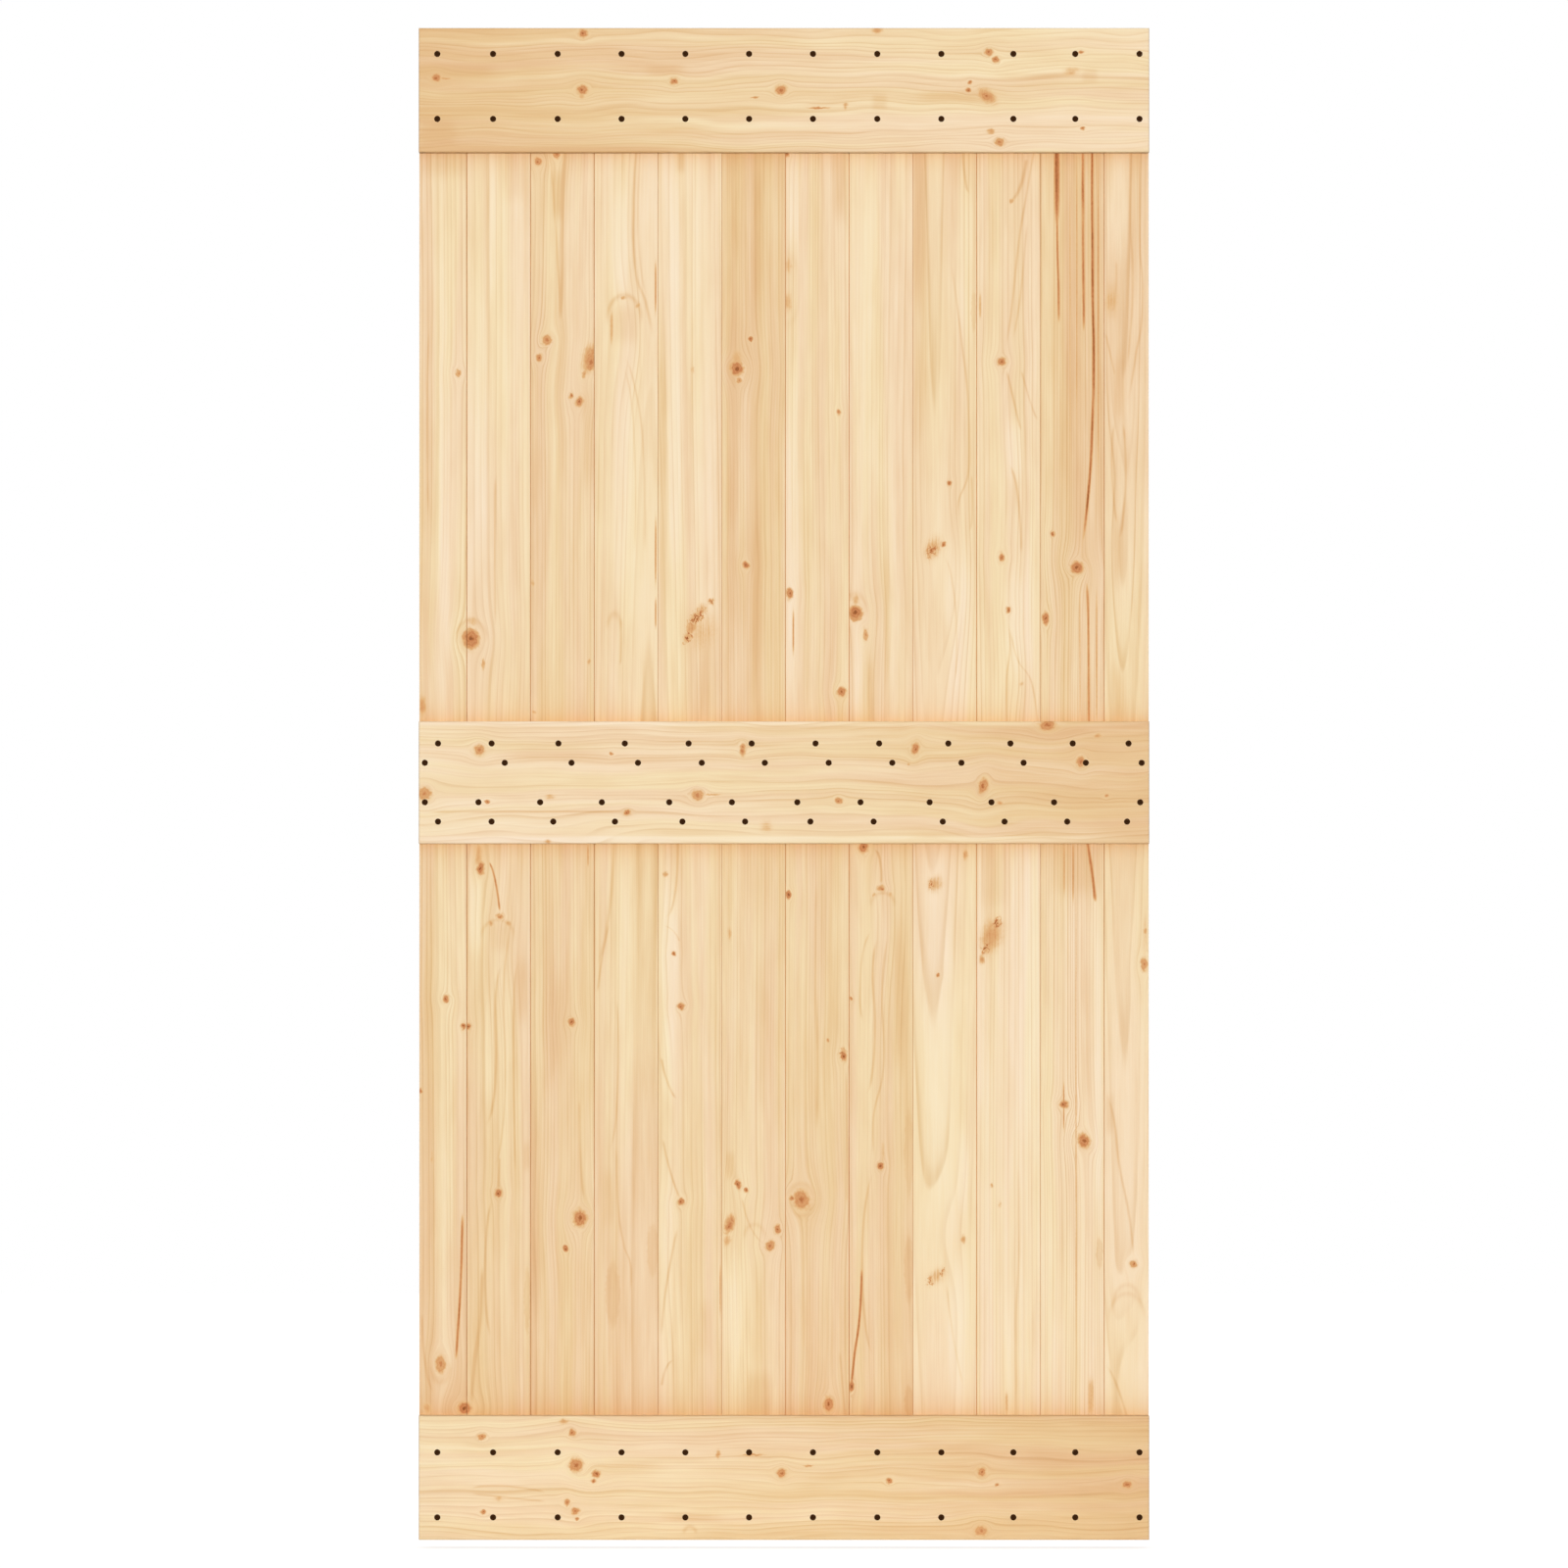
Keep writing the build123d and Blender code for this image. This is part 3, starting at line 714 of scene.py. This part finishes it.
VEINS = {
    "board_01": (
        vein(3.3, 0.34, (439, 331), (436, 430), (437, 528)),
        red_vein(3.4, 0.7, (471.9, 1233), (470.4, 1301), (467.3, 1358), (464.7, 1392)),
        vein(3.3, 0.47, (430.7, 1339), (433, 1384), (442, 1422)),
    ),
    "board_02": (
        vein(3.0, 0.41, (506, 483), (505, 560), (506, 642)),
        red_vein(2.8, 0.6, (498.7, 878), (505, 897), (510, 931)),
        vein(3.6, 0.57, (513.8, 983), (506, 1014), (506, 1082), (504, 1120), (493, 1150)),
        vein(3.0, 0.38, (524, 949), (515.7, 980), (514, 1025), (515.7, 1082), (514, 1139), (502.5, 1195)),
        vein(3.0, 0.46, (532.7, 980), (525, 1006), (524, 1082), (526, 1200)),
        vein(3.0, 0.41, (510, 1180), (508.6, 1214)),
        vein(3.3, 0.49, (506, 1224), (497, 1252), (495, 1309), (500.6, 1365)),
        vein(4.5, 0.68, (492.3, 1290), (490, 1346), (483.6, 1396), (481, 1437)),
    ),
    "board_03": (
        vein(5.0, 0.55, (578, 132), (575, 190), (574, 225), (573, 300), (569, 330)),
        vein(3.0, 0.34, (563, 170), (565, 200), (571, 300), (573, 330)),
        vein(3.0, 0.41, (591, 1120), (593, 1195), (597, 1225)),
    ),
    "board_04": (
        vein(4.5, 0.51, (652, 132), (646, 226), (648, 271), (659, 309), (667, 347)),
        vein(3.0, 0.34, (655, 132), (651, 226), (653, 265), (664, 305)),
        vein(3.0, 0.34, (637, 362), (648, 396), (656, 452), (658, 566)),
        vein(3.0, 0.34, (629, 373), (644, 407), (648, 471), (648, 566)),
        vein(3.0, 0.41, (633.5, 630), (634, 655), (632, 680)),
        vein(4.5, 0.41, (627, 840), (624, 910), (619, 948), (610, 985)),
        vein(3.0, 0.41, (621.6, 942), (614, 980), (609.5, 1014)),
        vein(3.0, 0.34, (629, 1018), (631, 1082), (621.6, 1176)),
        vein(3.0, 0.41, (629, 1169), (631, 1233), (636.7, 1271), (644, 1301), (640.5, 1320)),
    ),
    "board_05": (
        vein(3.6, 0.57, (691.6, 840), (689.7, 904), (678, 938)),
        vein(3.0, 0.41, (676, 944), (686, 949), (693.5, 961)),
        vein(3.6, 0.68, (674.5, 1078), (680, 1101), (689.7, 1122)),
        vein(3.3, 0.57, (676, 1161), (682, 1188), (691.6, 1218), (695, 1225)),
        vein(3.6, 0.57, (691.6, 1252), (686, 1278), (678, 1328), (675, 1365)),
        vein(3.6, 0.54, (689.7, 1387), (682, 1392), (675, 1415)),
    ),
    "board_06": (
        vein(3.0, 0.38, (757, 1222), (765, 1250), (779, 1270)),
    ),
    "board_07": (
        vein(5.1, 0.41, (833, 893), (832, 1000), (834, 1080), (833, 1157)),
        vein(3.0, 0.41, (863, 1089), (864, 1160), (864, 1233)),
        vein(3.3, 0.47, (856.7, 1377), (860.5, 1422), (864, 1466)),
    ),
    "board_08": (
        vein(3.3, 0.68, (892.6, 866), (899, 885), (899, 902)),
        vein(3.3, 0.41, (888.8, 949), (877.5, 1014), (881, 1044)),
        vein(3.6, 0.57, (900, 957), (890.7, 987), (892.6, 1044), (890.7, 1089), (883, 1118)),
        vein(3.0, 0.41, (913.4, 953), (900, 1006), (902, 1082), (890.7, 1157), (897, 1184)),
        vein(3.3, 0.51, (896.4, 1195), (885, 1218), (880, 1271), (881, 1328), (890.7, 1384)),
        red_vein(3.2, 0.7, (879.4, 1290), (877.5, 1339), (871.8, 1384), (868, 1422)),
    ),
    "board_09": (
        vein(3.6, 0.57, (981.5, 132), (985, 184), (990, 199)),
        vein(3.3, 0.43, (970, 263), (981, 347), (988, 415), (989, 471), (978, 513), (976, 534)),
        vein(3.0, 0.38, (991, 483), (992, 513), (989, 543)),
        vein(3.0, 0.41, (962.6, 566), (972, 596), (976, 641), (975, 698)),
        vein(3.0, 0.43, (966, 1309), (970, 1346), (983, 1415)),
    ),
    "board_10": (
        vein(5.1, 0.61, (1047.6, 161), (1042, 188), (1031, 207)),
        vein(3.3, 0.46, (1059, 132), (1046, 207), (1040, 244), (1032.5, 313), (1027, 354)),
        vein(3.0, 0.35, (1048, 226), (1042, 294), (1034, 347)),
        vein(3.3, 0.46, (1027, 377), (1034, 407), (1042, 441)),
        vein(3.0, 0.41, (1042, 377), (1053, 415), (1059, 430)),
        vein(3.9, 0.61, (1027, 473), (1034, 483), (1040, 520), (1042, 566)),
        vein(3.0, 0.41, (1026, 634), (1030.6, 657), (1027, 698), (1029, 762)),
        vein(3.0, 0.41, (1030.6, 641), (1038, 672), (1053, 698), (1060, 762)),
        vein(3.9, 0.41, (1038, 1184), (1040, 1260), (1037, 1350), (1039, 1466)),
    ),
    "board_11": (
        red_vein(3.2, 0.6, (1078.5, 190), (1079, 250), (1080, 290), (1080.5, 335)),
        red_vein(3.8, 0.66, (1104.6, 120), (1105, 200), (1105.4, 270), (1106, 345)),
        red_vein(3.8, 0.82, (1114.6, 100), (1115, 301), (1116, 362), (1114.6, 434), (1108, 528),
                 (1102.5, 566)),
        red_vein(3.4, 0.65, (1107, 589), (1110, 615), (1111, 762)),
        red_vein(4.4, 0.65, (1106, 840), (1114, 889), (1118, 923)),
    ),
    "board_12": (
        vein(3.0, 0.41, (1139, 265), (1139, 290), (1134, 320)),
        vein(3.3, 0.43, (1155, 132), (1153.5, 226), (1156, 282), (1153.5, 339), (1146, 384)),
        vein(3.3, 0.43, (1164, 132), (1163, 244), (1166, 301), (1159, 362), (1150, 415)),
        vein(3.0, 0.41, (1128, 339), (1133, 362), (1138, 384)),
        vein(3.3, 0.51, (1137, 430), (1134.6, 471), (1136.5, 509), (1140, 536)),
        vein(3.3, 0.51, (1146, 430), (1148.6, 483), (1146, 528), (1142, 551)),
        vein(3.6, 0.57, (1129, 1116), (1136.5, 1142), (1142, 1188), (1151.6, 1237), (1156, 1271),
             (1157, 1286)),
        vein(3.9, 0.46, (1129, 1392), (1140, 1415), (1155, 1466)),
    ),
    "top_rail": (
        vein(3.6, 0.41, (429, 155.5), (560, 155), (700, 155.5)),
    ),
    "middle_rail": (
        vein(3.3, 0.54, (430, 828.6), (540, 828), (643, 828.8)),
    ),
    "bottom_rail": (
        vein(3.0, 0.38, (480, 1519), (505, 1516), (530, 1518), (558, 1523)),
        vein(3.0, 0.38, (480, 1524), (509, 1527), (535, 1530), (558, 1532)),
    ),
}

SWELLS = {
    "board_02": (Swell(515, 975, 24, 3.2, 7),),
    "board_04": (Swell(640, 345, 26, 3.0, 8),),
    "board_05": (Swell(683, 985, 20, 5.0, 6), Swell(682, 1290, 20, 5.0, 5)),
    "board_08": (Swell(905, 945, 24, 3.2, 7),),
    "board_09": (Swell(975, 600, 26, 3.5, -8), Swell(965, 1260, 26, 3.0, 7)),
    "board_10": (Swell(1036, 500, 22, 4.5, 6), Swell(1038, 690, 20, 2.5, 6)),
    "board_12": (Swell(1140, 480, 20, 4.0, 5), Swell(1150, 1400, 22, 5.0, 7)),
}

PIECES = {
    "board_01": Piece(1.7, -70, 70, 0.00, 5.2, 0.63, 10, 1, 0.74, 0.32, 0.9),
    "board_02": Piece(2.3, -60, 70, 0.00, 5.2, 0.56, 10, 1, 0.68, 0.25, 0.9),
    "board_03": Piece(3.9, -120, 60, 0.00, 4.4, 0.63, 10, 1, 0.76, 0.42, 1.0),
    "board_04": Piece(4.1, 26, 60, 0.01, 5.2, 0.68, 12, 1, 0.70, 0.20, 0.9),
    "board_05": Piece(5.8, -70, 70, 0.01, 5.4, 0.63, 12, 1, 0.60, 0.20, 0.9),
    "board_06": Piece(6.2, 140, 60, 0.00, 4.2, 0.63, 8, 1, 0.37, 0.84, 0.9),
    "board_07": Piece(7.6, -160, 60, 0.00, 4.6, 0.56, 8, 1, 0.76, 0.32, 1.0),
    "board_08": Piece(8.4, 60, 70, 0.00, 5.2, 0.56, 10, 1, 0.69, 0.29, 0.9),
    "board_09": Piece(9.1, -18, 60, -0.02, 5.4, 0.68, 14, 1, 0.22, 0.53, 0.9),
    "board_10": Piece(10.5, 110, 50, 0.00, 5.2, 0.68, 12, 1, 0.13, 0.48, 0.9),
    "board_11": Piece(11.2, 150, 60, 0.00, 3.8, 0.90, 8, 1, 0.13, 0.82, 1.2),
    "board_12": Piece(12.8, -4, 50, -0.02, 5.2, 0.72, 14, 1, 0.22, 0.60, 0.9),
    "top_rail": Piece(13.3, 170, 80, 0.00, 5.4, 0.64, 16, 24, 1.00, 0.30, 1.1),
    "middle_rail": Piece(14.6, -150, 90, 0.00, 5.6, 0.64, 16, 24, 0.27, 1.00, 1.1),
    "bottom_rail": Piece(15.9, -170, 80, 0.00, 5.6, 0.61, 16, 20, 0.38, 1.05, 1.0),
}


def photo_place(x, y, mm_per_pixel):
    """(X, Z) in millimetres, in the row frame, of a photograph pixel on the leaf."""
    return ((x - PHOTO_MIDDLE_X) * mm_per_pixel,
            LEAF_MIDDLE_Z / MM + (PHOTO_MIDDLE_Y - y) * mm_per_pixel)


def joint_shade_share(t, place, end_grain):
    """How far a place lies in the joint between two boards, where painted shade darkens the wood: 0 to 1."""
    half = (BOARD_BACK - BOARD_DEPTH) / 2
    off_middle = t.math("ABSOLUTE", t.minus(place["Y"], BOARD_DEPTH + half))
    inside = t.step(off_middle, half - JOINT_START, half - JOINT_FULL)
    inside = t.times(inside, t.minus(1.0, end_grain))
    off_edge = t.minus(leaf_high.x, t.math("ABSOLUTE", place["X"]))
    return t.times(inside, t.step(off_edge, OUTER_EDGE_START, OUTER_EDGE_FULL))


def rail_shade_share(t, place):
    """Painted shade beside the rails: how near a place on the boards' front lies to a rail, highest beside
    it, fading to 0.
    """
    total = 0.0
    for rail, (share, reach) in PAINTED_RAIL_SHADE.items():
        low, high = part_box(rail)
        off_middle = t.math("ABSOLUTE", t.minus(place["Z"], (low.z + high.z) / 2))
        off_rail = t.larger(t.minus(off_middle, (high.z - low.z) / 2), 0.0)
        near = t.math("EXPONENT", t.times_plus(off_rail, -1 / (reach * MM), math.log(share)))
        total = t.larger(total, near)
    return t.times(total, t.step(place["Y"], BOARD_BACK, BOARD_DEPTH))


def marks_on(t, name, across, depth, along):
    """What the marks, veins and swells of a board or rail do at a place, by name."""
    is_rail = name in RAILS
    mm_per_pixel = RAIL_MM_PER_PIXEL if is_rail else BOARD_MM_PER_PIXEL

    def spot(x, y):
        """(across, along) in millimetres of a photograph pixel."""
        spot_x, spot_z = photo_place(x, y, mm_per_pixel)
        return (spot_z, spot_x) if is_rail else (spot_x, spot_z)

    place = (across, along)
    inputs = {"Vector": t.vector(across, depth, along), "Scale": RAGGED_SCALE, "Detail": 1.0}
    colour = t.add("ShaderNodeTexNoise", inputs).outputs["Color"]
    offset = t.add("ShaderNodeSeparateColor", {"Color": colour}).outputs
    ragged_place = (t.times_plus(t.centred(offset[0]), RAGGEDNESS, across),
                    t.times_plus(t.centred(offset[1]), RAGGEDNESS, along))
    slow = t.flat_noise(place, UNEVEN_SIZE, PIECES[name].seed)
    unevenness = t.times_plus(slow, LINE_RANGE, LINE_LEAST)
    marks = [(mark, spot(mark.x, mark.y)) for mark in MARKS[name]]
    veins = [(line, [spot(*point) for point in line.points]) for line in VEINS.get(name, ())]
    swells = [(swell, spot(swell.x, swell.y)) for swell in SWELLS.get(name, ())]
    found = add_marks(t, place, ragged_place, unevenness, marks)
    vein_tone, vein_stain = add_veins(t, place, unevenness, veins)
    found["Marked Tone"] = t.plus(found["Marked Tone"], vein_tone)
    found["Stain"] = t.larger(found["Stain"], vein_stain)
    found["Swell"] = add_swells(t, place, swells)
    return found


def make_pine(name):
    """The material of one board or rail, with its own rings, tone and marks."""
    piece = PIECES[name]
    is_rail = name in RAILS
    low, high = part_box(name)
    material = bpy.data.materials.new("pine_" + name)
    t = blank_tree(material)
    coordinates = t.add("ShaderNodeTexCoord").outputs
    place = t.add("ShaderNodeSeparateXYZ", {"Vector": coordinates["Object"]}).outputs
    normal = t.add("ShaderNodeSeparateXYZ", {"Vector": coordinates["Normal"]}).outputs
    across_axis, along_axis = ("Z", "X") if is_rail else ("X", "Z")
    across = t.times(place[across_axis], 1 / MM)
    depth = t.times(place["Y"], 1 / MM)
    along = t.times(place[along_axis], 1 / MM)
    end_grain = t.step(t.math("ABSOLUTE", normal[along_axis]), 0.4, 0.9)
    # Painted shade in the joints between boards
    joint = 0.0 if is_rail else joint_shade_share(t, place, end_grain)
    # Painted shade on the boards beside the rails
    rail_shade = 0.0 if is_rail else rail_shade_share(t, place)
    start, end = (low.x, high.x) if is_rail else (low.z, high.z)
    middle = ((low.z + high.z) if is_rail else (low.x + high.x)) / 2 / MM
    tone = t.add("ShaderNodeMapRange", {
        "Value": along, "From Min": start / MM, "From Max": end / MM,
        "To Min": piece.tone_start, "To Max": piece.tone_end}, interpolation_type="LINEAR").outputs[0]
    half_way = (start + end) / 2 / MM
    pith_depth = piece.pith_depth
    if piece.pith_slope:
        pith_depth = t.times_plus(along, piece.pith_slope, pith_depth - half_way * piece.pith_slope)
    pine = t.group(PINE_GROUP, {
        "Across": across, "Depth": depth, "Along": along, "End Grain": end_grain, "Joint": joint,
        "Rail Shade": rail_shade, "Seed": piece.seed, "Pith Across": middle + piece.pith_across,
        "Pith Depth": pith_depth, "Ring Width": piece.ring_width, "Contrast": piece.contrast,
        "Wobble": piece.wobble, "Waves": piece.waves, "Tone": tone, "Bands": piece.bands,
        **marks_on(t, name, across, depth, along)})
    bump = t.add("ShaderNodeBump", {"Height": pine["Height"], "Strength": 0.5, "Distance": FIBRE_RELIEF})
    shader = t.add("ShaderNodeBsdfPrincipled", {
        "Base Color": pine["Colour"], "Roughness": pine["Roughness"], "Normal": bump.outputs[0],
        "Specular IOR Level": 0.25})
    t.add("ShaderNodeOutputMaterial", {"Surface": shader.outputs[0]})
    return material


def make_screw_finish():
    """Dark brown coating on steel, a little uneven."""
    material = bpy.data.materials.new("screw_coating")
    t = blank_tree(material)
    place = t.add("ShaderNodeTexCoord").outputs["Object"]
    speckle = t.noise(place, scale=900.0, detail=3.0)
    colour = t.mix(speckle, *SCREW_COLOURS)
    bump = t.add("ShaderNodeBump", {"Height": speckle, "Strength": 0.3, "Distance": 0.05 * MM})
    shader = t.add("ShaderNodeBsdfPrincipled", {
        "Base Color": colour, "Roughness": t.times_plus(speckle, 0.2, 0.60),
        "Normal": bump.outputs[0], "Specular IOR Level": 0.05})
    t.add("ShaderNodeOutputMaterial", {"Surface": shader.outputs[0]})
    return material


def dress(node, material):
    """Gives a CAD node one material."""
    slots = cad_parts[node].data.materials
    slots.clear()
    slots.append(material)


for node in PIECES:
    dress(node, make_pine(node))
screw_finish = make_screw_finish()
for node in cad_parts:
    if "screws" in node:
        dress(node, screw_finish)


def make_world():
    """Even soft light from all round. Seen directly, or in gloss, the world is white."""
    world = bpy.data.worlds.new("studio")
    bpy.context.scene.world = world
    t = blank_tree(world)
    rays = t.add("ShaderNodeLightPath").outputs
    seen = t.larger(rays["Is Glossy Ray"], rays["Is Transmission Ray"])
    seen = t.larger(rays["Is Camera Ray"], seen)
    strength = t.times_plus(seen, 1.0 - WORLD_STRENGTH, WORLD_STRENGTH)
    background = t.add("ShaderNodeBackground", {"Color": (1, 1, 1, 1), "Strength": strength})
    t.add("ShaderNodeOutputWorld", {"Surface": background.outputs[0]})


def add_object(name, data):
    """A new object of the scene, which holds a mesh, light or camera."""
    thing = bpy.data.objects.new(name, data)
    bpy.context.scene.collection.objects.link(thing)
    return thing


def make_floor():
    """A pale floor just under the hanging leaf. It looks white, but keeps the leaf's shadow."""
    half = FLOOR_SIZE / 2
    z = leaf_low.z - FLOOR_GAP
    mesh = bpy.data.meshes.new("floor")
    corners = [(-half, -half, z), (half, -half, z), (half, half, z), (-half, half, z)]
    mesh.from_pydata(corners, [], [(0, 1, 2, 3)])
    floor = add_object("floor", mesh)
    material = bpy.data.materials.new("pale_floor")
    t = blank_tree(material)
    rays = t.add("ShaderNodeLightPath").outputs
    diffuse = t.add("ShaderNodeBsdfDiffuse", {"Color": FLOOR_COLOUR})
    glow = t.add("ShaderNodeEmission", {"Strength": t.times(rays["Is Camera Ray"], FLOOR_GLOW)})
    both = t.add("ShaderNodeAddShader", {0: diffuse.outputs[0], 1: glow.outputs[0]})
    t.add("ShaderNodeOutputMaterial", {"Surface": both.outputs[0]})
    mesh.materials.append(material)


def make_sun(name, strength, direction):
    """A light from far off that shines in one direction, with slightly soft shadows."""
    data = bpy.data.lights.new(name, "SUN")
    data.energy = strength
    data.angle = math.radians(SUN_ANGLE)
    lamp = add_object(name, data)
    lamp.rotation_euler = Vector(direction).to_track_quat("-Z", "Y").to_euler()


def make_camera():
    """Square to the leaf, at its middle."""
    data = bpy.data.cameras.new("camera")
    camera = add_object("camera", data)
    frame_width = PHOTO_SIZE * RAIL_MM_PER_PIXEL * MM
    data.sensor_width = SENSOR_WIDTH
    data.lens = data.sensor_width * CAMERA_DISTANCE / frame_width
    camera.location = (0.0, -CAMERA_DISTANCE, LEAF_MIDDLE_Z)
    camera.rotation_euler = (math.radians(90), 0, 0)
    bpy.context.scene.camera = camera


make_world()
make_floor()
make_sun("front_sun", FRONT_STRENGTH, FRONT_DIRECTION)
make_sun("back_sun", BACK_STRENGTH, BACK_DIRECTION)
make_camera()
bpy.context.scene.view_settings.view_transform = "Standard"
